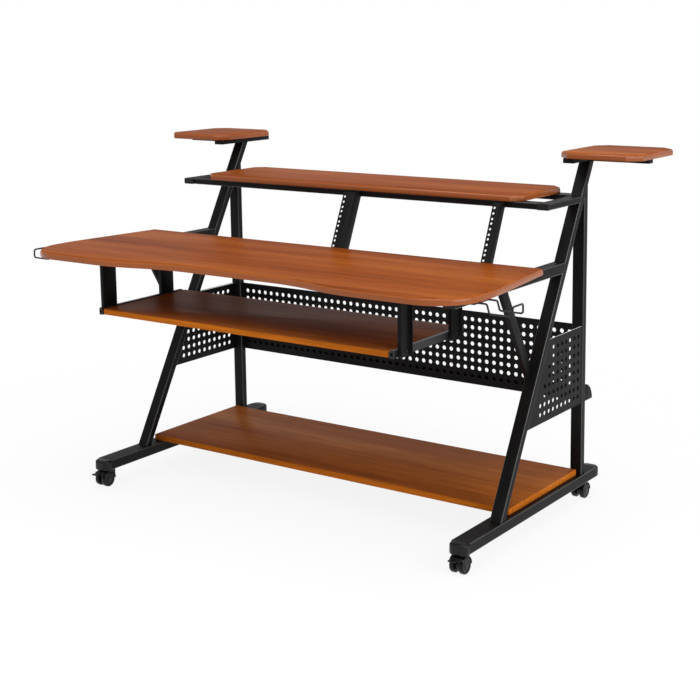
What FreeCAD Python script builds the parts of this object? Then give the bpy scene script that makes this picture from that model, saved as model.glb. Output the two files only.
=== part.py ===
import FreeCAD, Part
import Sketcher
import math
import os
import re

# A music desk on casters: two side frames of rectangular tube with slanted legs carry a wide
# desktop, an upper shelf, a lower shelf and two speaker shelves. A keyboard tray slides out below
# the desktop, two punched rails make a rack bay, and perforated sheets close the sides and back.
# Millimetres. +X is the player's right, +Y the rear, +Z up; the origin is on the floor, mid-way.

SIZES = {
    # Sections of the stock
    "tube_width": 36,
    "tube_depth": 21,
    "tube_wall": 1.5,
    "tube_round": 2.5,
    "sheet_wall": 2,
    "desk_board": 19,
    "shelf_board": 18,
    "tray_board": 16,
    # Side frames
    "frame_half": 652,
    "foot_width": 54.5,
    "foot_overhang": 14.5,
    "foot_bottom": 52,
    "foot_height": 30,
    "foot_front": -314.5,
    "foot_rear": 415,
    "foot_cap": 24,
    "cap_round": 12,
    "leg_front": -193.5,
    "leg_lean": 0.552,
    "leg_rise": 96,
    "rear_leg_front": 320,
    "arm_front": -373,
    "arm_height": 30,
    "arm_cap": 4,
    "brace_width": 12,
    "brace_inset": 20,
    "brace_depth": 30,
    "brace_lean": 0.575,
    "brace_back": -86,
    # Desktop
    "desk_height": 742.5,
    "desk_rear": 0,
    "desk_rear_half": 691,
    "desk_wide_half": 732,
    "desk_flare": -316,
    "desk_front": -506.5,
    "desk_recess": 45,
    "recess_half": 215,
    "ear_inner": 375,
    "desk_corner": 85,
    "flare_round": 300,
    # Upper shelf and its carriers
    "shelf_under": 896.5,
    "shelf_tube": 18,
    "shelf_arm_front": 105.5,
    "shelf_arm_cap": 3,
    "front_cross": 107,
    "rear_cross": 320,
    "shelf_half": 565,
    "shelf_front": 98,
    "shelf_depth": 272,
    "shelf_corner": 30,
    # Speaker shelves
    "bracket_height": 14,
    "bracket_inset": 2,
    "bracket_bar": 32,
    "bracket_front": 250,
    "bracket_rear": 492,
    "outrigger_front": 344,
    "outrigger_bar": 28,
    "outrigger_inset": 16,
    "speaker_overlap": 14,
    "speaker_width": 246,
    "speaker_front": 236,
    "speaker_depth": 270.5,
    "speaker_corner": 35,
    # Lower shelf
    "lower_inset": 12,
    "lower_front": -85,
    "lower_depth": 397,
    # Perforated sheets and the cable tray
    "panel_bottom": 297,
    "panel_height": 225,
    "panel_inset": 2,
    "panel_lip": 14,
    "hole_pitch": 25,
    "hole_width": 12,
    "hole_margin": 30,
    "trough_inset": 3,
    "trough_depth": 50,
    "trough_lip": 10,
    # Rack bay
    "rail_lean": 0.44,
    "rail_foot": 0.5,
    "rail_clearance": 3,
    "rail_web": 33,
    "rail_gap": 0.3,
    "centre_rail_edge": -4,
    "centre_rail_flange": 40,
    "right_rail_edge": 497,
    "right_rail_flange": 20,
    "rack_hole": 7,
    "rack_hole_inset": 7,
    "rack_hole_step": 15.875,
    "rack_unit": 44.45,
    "rack_first_hole": 6.9,
    "rail_tab_front": -76,
    "rail_tab_rear": 26,
    "rail_tab": 3,
    # Keyboard tray
    "tray_half": 492.5,
    "tray_front": -430,
    "tray_depth": 343,
    "tray_under": 565,
    "tray_corner": 10,
    "slide_room": 13,
    "hanger_sheet": 3,
    "hanger_depth": 12,
    "hanger_flange": 28,
    "hanger_drop": 6,
    "front_hanger": -410,
    "front_hanger_width": 52,
    "rear_hanger": -172,
    "rear_hanger_width": 52,
    "channel_wall": 1.5,
    "channel_depth": 10,
    "slide_gap": 0.5,
    "slide_front": -429.5,
    "slide_length": 337,
    # Headphone hooks
    "hook_wire": 5,
    "hook_middle": -361,
    "hook_gauge": 50,
    "hook_block_inner": 690,
    "hook_block": 25,
    "hook_block_height": 9,
    "hook_shoulder": 745,
    "hook_drop": 24,
    "hook_heel": 752,
    "hook_tip": 815,
    "hook_bend": 6,
    # Casters
    "caster_front": -289,
    "caster_rear": 391,
    "caster_trail": 28,
    "wheel_radius": 22,
    "wheel_width": 14,
    "wheel_chamfer": 2,
    "web_width": 12,
    "web_gap": 0.5,
    "web_radius": 15,
    "hood_gap": 0.8,
    "hood_wall": 2.7,
    "hood_angle": 140,
    "axle_radius": 3,
    "stem_radius": 4,
    "stem_thread": 5,
    "stem_flange": 12,
    "stem_flange_height": 3.8,
    "stem_into_foot": 20,
    "stem_into_boss": 22,
    "boss_depth": 20,
    "running_gap": 0.1,
    "lever_reach": 21.5,
    "lever_length": 22.5,
    "lever_width": 21,
    "lever_sheet": 3,
    "lever_hub": 3,
    "lever_pin": 1.5,
    "ear_width": 3,
    "ear_size": 8,
}

doc = FreeCAD.newDocument("music_desk")
sheet = doc.addObject("Spreadsheet::Sheet", "sizes")
for row, (size_name, size) in enumerate(SIZES.items(), start=1):
    sheet.set(f"A{row}", size_name)
    sheet.set(f"B{row}", str(size))
    sheet.setAlias(f"B{row}", size_name)
doc.recompute()

SIDES = {"left": -1, "right": 1}
PLANES = {"X": "YZ_Plane", "Y": "XZ_Plane", "Z": "XY_Plane"}
ALONG_X = FreeCAD.Rotation(FreeCAD.Vector(1, 1, 1), 120)
UPRIGHT = FreeCAD.Rotation()
PAST = 1
PARALLEL = 0.9999
sub_parts = []


def formula(text):
    """An expression over the sheet, from a text that writes each size by its bare name."""
    def cell(word):
        return f"sizes.{word[0]}" if word[0] in SIZES else word[0]
    return re.sub(r"[a-z][a-z_0-9]*", cell, str(text))


def value(text):
    return float(sheet.evalExpression(formula(text)))


def bind(item, **properties):
    for name, text in properties.items():
        item.setExpression(name, formula(text))


def place(item, x, y, z, rotation=UPRIGHT):
    item.Placement = FreeCAD.Placement(FreeCAD.Vector(), rotation)
    for axis, text in zip("xyz", (x, y, z)):
        item.setExpression(f"Placement.Base.{axis}", formula(text))


def keep(item, label):
    """Mark a finished object as a sub-part, to be written under its label."""
    item.Label = label
    sub_parts.append(item)
    return item


def sides(side, inner, outer):
    """The lower and higher X of something between two distances from the middle."""
    return (inner, outer) if SIDES[side] > 0 else (f"-({outer})", f"-({inner})")


def mirrored(side, corners):
    return [(f"{SIDES[side]} * ({x})", y) for x, y in corners]


def rectangle(x_low, y_low, x_high, y_high):
    return [(x_low, y_low), (x_high, y_low), (x_high, y_high), (x_low, y_high)]


def add_corners(sketch, corners):
    """A closed outline in a sketch, each corner bound to the sheet by its two distances."""
    first = sketch.GeometryCount
    points = [FreeCAD.Vector(value(x), value(y), 0) for x, y in corners]
    for start, end in zip(points, points[1:] + points[:1]):
        sketch.addGeometry(Part.LineSegment(start, end))
    for index in range(len(corners)):
        following = first + (index + 1) % len(corners)
        sketch.addConstraint(Sketcher.Constraint("Coincident", first + index, 2, following, 1))
    for index, ((x, y), point) in enumerate(zip(corners, points), start=first):
        for kind, text, distance in (("DistanceX", x, point.x), ("DistanceY", y, point.y)):
            number = sketch.addConstraint(Sketcher.Constraint(kind, -1, 1, index, 1, distance))
            sketch.setExpression(f"Constraints[{number}]", formula(text))


def add_circle(sketch, x, y, radius):
    centre = FreeCAD.Vector(value(x), value(y), 0)
    circle = sketch.addGeometry(Part.Circle(centre, FreeCAD.Vector(0, 0, 1), value(radius)))
    rules = (("DistanceX", x, centre.x), ("DistanceY", y, centre.y))
    for kind, text, distance in rules:
        number = sketch.addConstraint(Sketcher.Constraint(kind, -1, 1, circle, 3, distance))
        sketch.setExpression(f"Constraints[{number}]", formula(text))
    number = sketch.addConstraint(Sketcher.Constraint("Radius", circle, value(radius)))
    sketch.setExpression(f"Constraints[{number}]", formula(radius))


def new_body(name):
    return doc.addObject("PartDesign::Body", name)


def new_sketch(body, normal, start):
    """A sketch of the body across one axis, at the place `start` along it."""
    sketch = body.newObject("Sketcher::SketchObject", f"{body.Name}_sketch")
    origin_plane = next(f for f in body.Origin.OriginFeatures if f.Role == PLANES[normal])
    sketch.AttachmentSupport = [(origin_plane, "")]
    sketch.MapMode = "FlatFace"
    offset = f"-({start})" if normal == "Y" else start
    sketch.setExpression("AttachmentOffset.Base.z", formula(offset))
    return sketch


def pad(body, normal, start, length, corners):
    """Add the outline's solid, from `start` on along the axis."""
    sketch = new_sketch(body, normal, start)
    add_corners(sketch, corners)
    feature = body.newObject("PartDesign::Pad", f"{body.Name}_pad")
    feature.Profile = sketch
    feature.Reversed = normal == "Y"
    bind(feature, Length=length)
    return feature


def pocket(body, sketch, normal, length):
    """Cut the sketch's outlines away, from its place on along the axis."""
    doc.recompute()
    before = body.Shape.Volume
    feature = body.newObject("PartDesign::Pocket", f"{body.Name}_pocket")
    feature.Profile = sketch
    feature.Reversed = normal != "Y"
    bind(feature, Length=length)
    doc.recompute()
    if not body.Shape.Volume < before:
        raise ValueError(f"{feature.Name} cuts nothing")
    return feature


def hollow(body, normal, start, length, corners):
    sketch = new_sketch(body, normal, start)
    add_corners(sketch, corners)
    return pocket(body, sketch, normal, length)


def round_edges(body, direction, radius, near=None):
    """Round the straight edges along a direction, all or those nearest to the given points."""
    doc.recompute()
    axis = FreeCAD.Vector(*direction).normalize()
    base = body.Tip
    found = []
    for index, edge in enumerate(base.Shape.Edges, start=1):
        along = edge.Vertexes[-1].Point.sub(edge.Vertexes[0].Point)
        if along.Length > 0 and abs(along.normalize().dot(axis)) > PARALLEL:
            found.append((index, edge.CenterOfMass))
    if near:
        spots = [FreeCAD.Vector(value(x), value(y), 0) for x, y in near]
        found = [min(found, key=lambda pair: math.hypot(pair[1].x - spot.x, pair[1].y - spot.y))
                 for spot in spots]
    feature = body.newObject("PartDesign::Fillet", f"{body.Name}_round")
    feature.Base = (base, [f"Edge{index}" for index, _ in found])
    bind(feature, Radius=radius)
    doc.recompute()
    return feature


def rod(name, x, y, z, radius, length, rotation=UPRIGHT, angle="360"):
    cylinder = doc.addObject("Part::Cylinder", name)
    bind(cylinder, Radius=radius, Height=length, Angle=angle)
    place(cylinder, x, y, z, rotation)
    return cylinder


def block(name, x, y, z, length, width, height):
    box = doc.addObject("Part::Box", name)
    bind(box, Length=length, Width=width, Height=height)
    place(box, x, y, z)
    return box


def fuse(name, pieces):
    joined = doc.addObject("Part::MultiFuse", name)
    joined.Shapes = pieces
    joined.Refine = True
    return joined


def cut(name, base, tool):
    result = doc.addObject("Part::Cut", name)
    result.Base = base
    result.Tool = tool
    return result


def group(label, pieces):
    compound = doc.addObject("Part::Compound", label)
    compound.Links = pieces
    return keep(compound, label)


# Planes that several pieces share
FOOT_TOP = "(foot_bottom + foot_height)"
FRAME_IN = "(frame_half - tube_width)"
FOOT_IN = "(frame_half - tube_width - foot_overhang)"
FOOT_OUT = f"({FOOT_IN} + foot_width)"
FOOT_MIDDLE = f"({FOOT_IN} + foot_width / 2)"
DESK_UNDER = "(desk_height - desk_board)"
ARM_UNDER = f"({DESK_UNDER} - arm_height)"
SHELF_TUBE_UNDER = "(shelf_under - shelf_tube)"
REAR_LEG_BACK = "(rear_leg_front + tube_depth)"
PANEL_TOP = "(panel_bottom + panel_height)"
LEG_TOP = "(shelf_under + leg_rise)"
SPEAKER_IN = "(frame_half - tube_width - speaker_overlap)"
LEG_RUN = "(tube_depth * sqrt(1 + leg_lean ^ 2))"
LEG_WALL_RUN = "(tube_wall * sqrt(1 + leg_lean ^ 2))"


def leg_front_at(z):
    return f"(leg_front + leg_lean * ({z}))"


def leg_back_at(z):
    return f"(leg_front + leg_lean * ({z}) + {LEG_RUN})"


def leg_back_height(y):
    return f"((({y}) - leg_front - {LEG_RUN}) / leg_lean)"


# Feet: one tube along each side, bored below for the two caster stems
for side in SIDES:
    x_low, x_high = sides(side, FOOT_IN, FOOT_OUT)
    body = new_body(f"{side}_foot_tube")
    length = "(foot_rear - foot_front)"
    pad(body, "Y", "foot_front", length, rectangle(x_low, "foot_bottom", x_high, FOOT_TOP))
    round_edges(body, (0, 1, 0), "tube_round")
    hollow(body, "Y", f"foot_front - {PAST}", f"{length} + {2 * PAST}",
           rectangle(f"{x_low} + tube_wall", "foot_bottom + tube_wall",
                     f"{x_high} - tube_wall", f"{FOOT_TOP} - tube_wall"))
    bores = new_sketch(body, "Z", f"foot_bottom - {PAST}")
    for caster_y in ("caster_front", "caster_rear"):
        add_circle(bores, f"{SIDES[side]} * {FOOT_MIDDLE}", caster_y, "stem_thread + running_gap")
    pocket(body, bores, "Z", f"tube_wall + {2 * PAST}")
    keep(body, f"{side}_foot_tube")

# Slanted legs: from the foot to the speaker shelf, leaning back
for side in SIDES:
    x_low, x_high = sides(side, FRAME_IN, "frame_half")
    body = new_body(f"{side}_slanted_leg")
    pad(body, "X", x_low, "tube_width",
        [(leg_front_at(FOOT_TOP), FOOT_TOP), (leg_back_at(FOOT_TOP), FOOT_TOP),
         (leg_back_at(LEG_TOP), LEG_TOP), (leg_front_at(LEG_TOP), LEG_TOP)])
    round_edges(body, (0, value("leg_lean"), 1), "tube_round")
    low, high = f"({FOOT_TOP} - {PAST})", f"({LEG_TOP} + {PAST})"
    hollow(body, "X", f"{x_low} + tube_wall", "tube_width - 2 * tube_wall",
           [(f"{leg_front_at(low)} + {LEG_WALL_RUN}", low),
            (f"{leg_back_at(low)} - {LEG_WALL_RUN}", low),
            (f"{leg_back_at(high)} - {LEG_WALL_RUN}", high),
            (f"{leg_front_at(high)} + {LEG_WALL_RUN}", high)])
    keep(body, f"{side}_slanted_leg")

# Rear legs: upright, mitred under the slanted legs
for side in SIDES:
    x_low, x_high = sides(side, FRAME_IN, "frame_half")
    body = new_body(f"{side}_rear_leg")
    pad(body, "X", x_low, "tube_width",
        [("rear_leg_front", FOOT_TOP), (REAR_LEG_BACK, FOOT_TOP),
         (REAR_LEG_BACK, leg_back_height(REAR_LEG_BACK)),
         ("rear_leg_front", leg_back_height("rear_leg_front"))])
    round_edges(body, (0, 0, 1), "tube_round")
    hollow(body, "X", f"{x_low} + tube_wall", "tube_width - 2 * tube_wall",
           rectangle("rear_leg_front + tube_wall", f"{FOOT_TOP} - {PAST}",
                     f"{REAR_LEG_BACK} - tube_wall", f"{leg_back_height(REAR_LEG_BACK)} + {PAST}"))
    keep(body, f"{side}_rear_leg")


def arm(label, side, front, low, high):
    """A tube that runs forward from the slanted leg's front face."""
    x_low, x_high = sides(side, FRAME_IN, "frame_half")
    body = new_body(label)
    pad(body, "X", x_low, "tube_width",
        [(front, low), (leg_front_at(low), low), (leg_front_at(high), high), (front, high)])
    round_edges(body, (0, 1, 0), "tube_round")
    hollow(body, "X", f"{x_low} + tube_wall", "tube_width - 2 * tube_wall",
           rectangle(f"{front} - {PAST}", f"{low} + tube_wall",
                     f"{leg_front_at(high)} + {PAST}", f"{high} - tube_wall"))
    keep(body, label)


def arm_plug(name, side, front, length, low, high):
    x_low, x_high = sides(side, FRAME_IN, "frame_half")
    body = new_body(name)
    pad(body, "Y", f"{front} - {length}", length, rectangle(x_low, low, x_high, high))
    round_edges(body, (0, 1, 0), "tube_round")
    return body


# Arms under the desktop and under the upper shelf, each with a plug in its open front end
plugs = []
for side in SIDES:
    arm(f"{side}_desk_arm", side, "arm_front", ARM_UNDER, DESK_UNDER)
    arm(f"{side}_shelf_arm", side, "shelf_arm_front", SHELF_TUBE_UNDER, "shelf_under")
    plugs.append(arm_plug(f"{side}_desk_arm_plug", side, "arm_front", "arm_cap", ARM_UNDER, DESK_UNDER))
    plugs.append(arm_plug(f"{side}_shelf_arm_plug", side, "shelf_arm_front", "shelf_arm_cap",
                          SHELF_TUBE_UNDER, "shelf_under"))
group("arm_end_caps", plugs)

# Braces: flat bars from the slanted leg forward and up to the desk arm
BRACE_RUN = "(brace_depth * sqrt(1 + brace_lean ^ 2))"
for side in SIDES:
    x_low, x_high = sides(side, "frame_half - brace_inset - brace_width", "frame_half - brace_inset")
    body = new_body(f"{side}_arm_brace")
    back_at_floor = f"(brace_back + brace_lean * {ARM_UNDER})"
    back_meets = f"(({back_at_floor} - leg_front) / (leg_lean + brace_lean))"
    front_meets = f"(({back_at_floor} - {BRACE_RUN} - leg_front) / (leg_lean + brace_lean))"
    pad(body, "X", x_low, "brace_width",
        [("brace_back", ARM_UNDER), (f"brace_back - {BRACE_RUN}", ARM_UNDER),
         (leg_front_at(front_meets), front_meets), (leg_front_at(back_meets), back_meets)])
    keep(body, f"{side}_arm_brace")

# Cross tubes under the upper shelf, between the side frames
for label, front in (("front_cross_tube", "front_cross"), ("rear_cross_tube", "rear_cross")):
    body = new_body(label)
    back = f"({front} + tube_width)"
    pad(body, "X", f"-{FRAME_IN}", f"2 * {FRAME_IN}",
        rectangle(front, SHELF_TUBE_UNDER, back, "shelf_under"))
    round_edges(body, (1, 0, 0), "tube_round")
    hollow(body, "X", f"-{FRAME_IN} - {PAST}", f"2 * {FRAME_IN} + {2 * PAST}",
           rectangle(f"{front} + tube_wall", f"{SHELF_TUBE_UNDER} + tube_wall",
                     f"{back} - tube_wall", "shelf_under - tube_wall"))
    keep(body, label)


# Moulded caps on the front and rear ends of the feet, round at the outer corners
for label, end, nose in (("front_foot_caps", "foot_front", "(foot_front - foot_cap)"),
                         ("rear_foot_caps", "foot_rear", "(foot_rear + foot_cap)")):
    caps = []
    for side in SIDES:
        x_low, x_high = sides(side, FOOT_IN, FOOT_OUT)
        body = new_body(f"{side}_{label}")
        pad(body, "Z", "foot_bottom", "foot_height", rectangle(x_low, end, x_high, nose))
        round_edges(body, (0, 0, 1), "cap_round", near=[(x_low, nose), (x_high, nose)])
        caps.append(body)
    group(label, caps)


def board(label, low, thickness, corners):
    body = new_body(label)
    pad(body, "Z", low, thickness, corners)
    return keep(body, label)


def clipped(x_low, y_low, x_high, y_high, corner):
    """A rectangle with its four corners cut off at 45 degrees."""
    return [(f"{x_low} + {corner}", y_low), (f"{x_high} - {corner}", y_low),
            (x_high, f"{y_low} + {corner}"), (x_high, f"{y_high} - {corner}"),
            (f"{x_high} - {corner}", y_high), (f"{x_low} + {corner}", y_high),
            (x_low, f"{y_high} - {corner}"), (x_low, f"{y_low} + {corner}")]


# Desktop: flared sides, round front corners, and a front edge that curves in for the player
half_outline = [("desk_rear_half", "desk_rear"), ("desk_wide_half", "desk_flare"),
                ("desk_wide_half", "desk_front"), ("ear_inner", "desk_front"),
                ("recess_half", "desk_front + desk_recess")]
desktop = new_body("desktop")
pad(desktop, "Z", DESK_UNDER, "desk_board",
    half_outline + [(f"-{x}", y) for x, y in reversed(half_outline)])
CURVE_RUN = "(ear_inner - recess_half)"
CURVE_ROUND = (f"0.48 * sqrt({CURVE_RUN} ^ 2 + desk_recess ^ 2)"
               f" / tan(atan(desk_recess / {CURVE_RUN}) / 2)")
for corners, radius in ((half_outline[1:2], "flare_round"), (half_outline[2:3], "desk_corner"),
                        (half_outline[3:5], CURVE_ROUND)):
    both = corners + [(f"-{x}", y) for x, y in corners]
    round_edges(desktop, (0, 0, 1), radius, near=both)
keep(desktop, "desktop")

# Shelves
LOWER_HALF = "(frame_half - lower_inset)"
board("upper_shelf", "shelf_under", "shelf_board",
      clipped("-shelf_half", "shelf_front", "shelf_half", "(shelf_front + shelf_depth)", "shelf_corner"))
board("lower_shelf", FOOT_TOP, "shelf_board",
      rectangle(f"-{LOWER_HALF}", "lower_front", LOWER_HALF, "lower_front + lower_depth"))
BRACKET_TOP = f"({LEG_TOP} + bracket_height)"
BRACKET_IN = f"({FRAME_IN} + bracket_inset)"
OUTRIGGER_END = f"({SPEAKER_IN} + speaker_width - outrigger_inset)"
for side in SIDES:
    bar = f"({BRACKET_IN} + bracket_bar)"
    outrigger_rear = "(outrigger_front + outrigger_bar)"
    board(f"{side}_speaker_bracket", LEG_TOP, "bracket_height", mirrored(side, [
        (BRACKET_IN, "bracket_front"), (bar, "bracket_front"), (bar, "outrigger_front"),
        (OUTRIGGER_END, "outrigger_front"), (OUTRIGGER_END, outrigger_rear), (bar, outrigger_rear),
        (bar, "bracket_rear"), (BRACKET_IN, "bracket_rear")]))
    board(f"{side}_speaker_shelf", BRACKET_TOP, "shelf_board", mirrored(side, clipped(
        SPEAKER_IN, "speaker_front", f"({SPEAKER_IN} + speaker_width)",
        "(speaker_front + speaker_depth)", "speaker_corner")))


def perforated(corners, centres, to_space, thickness):
    """A sheet with square-cut perforations: one holed face, thickened."""
    outer = Part.makePolygon([to_space(x, z) for x, z in corners + corners[:1]])
    half = value("hole_width") / 2
    holes = [Part.makePolygon([to_space(x + dx * half, z + dz * half)
                               for dx, dz in ((-1, -1), (1, -1), (1, 1), (-1, 1), (-1, -1))])
             for x, z in centres]
    face = Part.makeFace([outer] + holes, "Part::FaceMakerBullseye")
    return face.extrude(thickness)


def sheet_feature(label, shape):
    feature = doc.addObject("Part::Feature", label)
    feature.Shape = shape
    return keep(feature, label)


pitch = value("hole_pitch")
panel_low = value("panel_bottom")
panel_high = value(PANEL_TOP)
row_count = math.floor(value("panel_height") / pitch) - 1
row_heights = [panel_low + pitch * (row + 1) for row in range(row_count)]

# Side panels: sheet between the slanted and the rear leg, with a lip folded in along its top.
# Two rows at a time have as many holes as fit behind the leg.
for side, sign in SIDES.items():
    outer_face = sign * (value("frame_half") - value("panel_inset"))
    inward = FreeCAD.Vector(-sign * value("sheet_wall"), 0, 0)
    edge = value("rear_leg_front")
    centres = []
    for row, height in enumerate(row_heights):
        upper = row_heights[min(row - row % 2 + 1, row_count - 1)]
        room = edge - pitch - value("hole_margin") - value(leg_back_at(upper))
        centres += [(edge - pitch * (column + 1), height) for column in range(math.floor(room / pitch) + 1)]
    low_corner = value(leg_back_at("panel_bottom"))
    high_corner = value(leg_back_at(PANEL_TOP))
    lip_corner = value(leg_back_at(f"{PANEL_TOP} - sheet_wall"))

    def upright(y, z, x=outer_face):
        return FreeCAD.Vector(x, y, z)

    panel = perforated([(low_corner, panel_low), (edge, panel_low), (edge, panel_high),
                        (high_corner, panel_high)], centres, upright, inward)
    lip_low = panel_high - value("sheet_wall")
    lip_outline = [upright(y, z) for y, z in ((lip_corner, lip_low), (edge, lip_low),
                                              (edge, panel_high), (high_corner, panel_high),
                                              (lip_corner, lip_low))]
    lip = Part.Face(Part.makePolygon(lip_outline)).extrude(FreeCAD.Vector(-sign * value("panel_lip"), 0, 0))
    sheet_feature(f"{side}_side_panel", panel.fuse(lip).removeSplitter())

# Back panel: sheet between the rear legs, flush with their backs
span = value(FRAME_IN)
back_face = value(REAR_LEG_BACK)
columns = math.floor((span - value("hole_width") / 2 - value("sheet_wall")) / pitch)
grid = [(pitch * column, height) for height in row_heights for column in range(-columns, columns + 1)]
back_sheet = perforated([(-span, panel_low), (span, panel_low), (span, panel_high), (-span, panel_high)],
                        grid, lambda x, z: FreeCAD.Vector(x, back_face, z),
                        FreeCAD.Vector(0, -value("sheet_wall"), 0))
sheet_feature("back_panel", back_sheet)

# Cable tray: a folded shelf behind the back panel, with quarter-round end plates
TROUGH_HALF = "(frame_half - trough_inset)"
trough = [block("trough_floor", f"-{TROUGH_HALF}", REAR_LEG_BACK, "panel_bottom",
                f"2 * {TROUGH_HALF}", "trough_depth", "sheet_wall"),
          block("trough_back", f"-{TROUGH_HALF}", f"{REAR_LEG_BACK} + trough_depth - sheet_wall",
                "panel_bottom", f"2 * {TROUGH_HALF}", "sheet_wall", "trough_lip")]
for side in SIDES:
    x_low, x_high = sides(side, f"{TROUGH_HALF} - sheet_wall", TROUGH_HALF)
    trough.append(rod(f"{side}_trough_end", x_low, REAR_LEG_BACK, "panel_bottom",
                      "trough_depth", "sheet_wall", ALONG_X, "90"))
keep(fuse("cable_tray", trough), "cable_tray")

# Rack rails: leaning angle sections with a column of rack holes, standing on a tab under the desktop
RAIL_STRETCH = "sqrt(1 + rail_lean ^ 2)"
RAIL_TOP = "(shelf_under - rail_clearance)"


def rail_at(z):
    return f"(rail_foot + rail_lean * (({z}) - {DESK_UNDER}))"


def rack_rail(label, edge, flange):
    body = new_body(label)
    far_edge = f"({edge} + {flange})"
    notch = "(front_cross - rail_gap)"
    below = f"({SHELF_TUBE_UNDER} - rail_gap)"
    web_run = f"(rail_web * {RAIL_STRETCH})"
    skin = f"(sheet_wall * {RAIL_STRETCH})"
    pad(body, "X", edge, flange,
        [(rail_at(DESK_UNDER), DESK_UNDER), (f"{rail_at(DESK_UNDER)} + {skin}", DESK_UNDER),
         (f"{rail_at(RAIL_TOP)} + {skin}", RAIL_TOP), (rail_at(RAIL_TOP), RAIL_TOP)])
    pad(body, "X", f"{far_edge} - sheet_wall", "sheet_wall",
        [(rail_at(DESK_UNDER), DESK_UNDER), (f"{rail_at(DESK_UNDER)} + {web_run}", DESK_UNDER),
         (f"{rail_at(below)} + {web_run}", below), (notch, below), (notch, RAIL_TOP),
         (rail_at(RAIL_TOP), RAIL_TOP)])
    pad(body, "Z", f"{DESK_UNDER} - rail_tab", "rail_tab",
        rectangle(edge, "rail_tab_front", far_edge, "rail_tab_rear"))
    holes = new_sketch(body, "Y", rail_at(DESK_UNDER))
    holes.setExpression("AttachmentOffset.Base.y", formula(DESK_UNDER))
    holes.AttachmentOffset = FreeCAD.Placement(holes.AttachmentOffset.Base,
                                               FreeCAD.Rotation(FreeCAD.Vector(1, 0, 0), 0))
    holes.setExpression("AttachmentOffset.Rotation.Angle", formula("-atan(rail_lean)"))
    for step in range(3):
        add_circle(holes, f"{edge} + rack_hole_inset", f"rack_first_hole + {step} * rack_hole_step",
                   "rack_hole / 2")
    doc.recompute()
    drill = body.newObject("PartDesign::Pocket", f"{body.Name}_drill")
    drill.Profile = holes
    drill.Midplane = True
    bind(drill, Length="4 * sheet_wall")
    doc.recompute()
    units = body.newObject("PartDesign::LinearPattern", f"{body.Name}_units")
    units.Originals = [drill]
    units.Direction = (holes, ["V_Axis"])
    units.Occurrences = 4
    bind(units, Length="3 * rack_unit")
    body.Tip = units
    keep(body, label)


rack_rail("centre_rack_rail", "centre_rail_edge", "centre_rail_flange")
rack_rail("right_rack_rail", "right_rail_edge", "right_rail_flange")

# Keyboard tray, its hangers under the desktop, and a slide on each side
tray = new_body("keyboard_tray")
tray_outline = rectangle("-tray_half", "tray_front", "tray_half", "tray_front + tray_depth")
pad(tray, "Z", "tray_under", "tray_board", tray_outline)
round_edges(tray, (0, 0, 1), "tray_corner", near=tray_outline[:2])
keep(tray, "keyboard_tray")

TRAY_TOP = "(tray_under + tray_board)"
CHANNEL_LOW = "(tray_under - slide_gap - channel_wall)"
CHANNEL_HIGH = f"({TRAY_TOP} + slide_gap + channel_wall)"
HANGER_IN = "(tray_half + slide_room)"
HANGER_LOW = "(tray_under - hanger_drop)"
for side in SIDES:
    for position in ("front", "rear"):
        label = f"{side}_{position}_tray_hanger"
        web = f"({HANGER_IN} + hanger_sheet)"
        outer = f"({HANGER_IN} + hanger_depth)"
        front = f"{position}_hanger"
        rear = f"({front} + {position}_hanger_width)"
        body = new_body(label)
        pad(body, "Z", HANGER_LOW, f"{DESK_UNDER} - {HANGER_LOW}", mirrored(side, [
            (HANGER_IN, front), (outer, front), (outer, f"{front} + hanger_sheet"),
            (web, f"{front} + hanger_sheet"), (web, f"{rear} - hanger_sheet"),
            (outer, f"{rear} - hanger_sheet"), (outer, rear), (HANGER_IN, rear)]))
        pad(body, "Z", f"{DESK_UNDER} - hanger_sheet", "hanger_sheet", mirrored(side, rectangle(
            HANGER_IN, front, f"({HANGER_IN} + hanger_flange)", rear)))
        keep(body, label)
    mouth = f"({HANGER_IN} - channel_depth)"
    back_wall = f"({HANGER_IN} - channel_wall)"
    channel = new_body(f"{side}_slide_channel")
    pad(channel, "Y", "slide_front", "slide_length", mirrored(side, [
        (HANGER_IN, CHANNEL_LOW), (HANGER_IN, CHANNEL_HIGH), (mouth, CHANNEL_HIGH),
        (mouth, f"{CHANNEL_HIGH} - channel_wall"), (back_wall, f"{CHANNEL_HIGH} - channel_wall"),
        (back_wall, f"{CHANNEL_LOW} + channel_wall"), (mouth, f"{CHANNEL_LOW} + channel_wall"),
        (mouth, CHANNEL_LOW)]))
    keep(channel, f"{side}_slide_channel")
    runner = new_body(f"{side}_slide_runner")
    waist = "(tray_half + slide_room / 3)"
    groove = "(tray_board / 4)"
    pad(runner, "Y", "slide_front", "slide_length", mirrored(side, [
        ("tray_half", "tray_under"), (f"{back_wall} - slide_gap", "tray_under"),
        (f"{back_wall} - slide_gap", f"tray_under + {groove}"), (waist, f"tray_under + {groove}"),
        (waist, f"{TRAY_TOP} - {groove}"), (f"{back_wall} - slide_gap", f"{TRAY_TOP} - {groove}"),
        (f"{back_wall} - slide_gap", TRAY_TOP), ("tray_half", TRAY_TOP)]))
    keep(runner, f"{side}_slide_runner")


def bent_path(points, radius):
    """Straight runs joined by bends, each bend of three short chords."""
    spots = [points[0]]
    for before, corner, after in zip(points, points[1:], points[2:]):
        to_before = before.sub(corner).normalize()
        to_after = after.sub(corner).normalize()
        half_angle = to_before.getAngle(to_after) / 2
        reach = radius / math.tan(half_angle)
        first = corner.add(to_before * reach)
        last = corner.add(to_after * reach)
        spots += [first, first.add(corner.sub(first) * CHORD), last.add(corner.sub(last) * CHORD), last]
    return Part.makePolygon(spots + [points[-1]])


CHORD = 0.6
MITRED = 1

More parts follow.
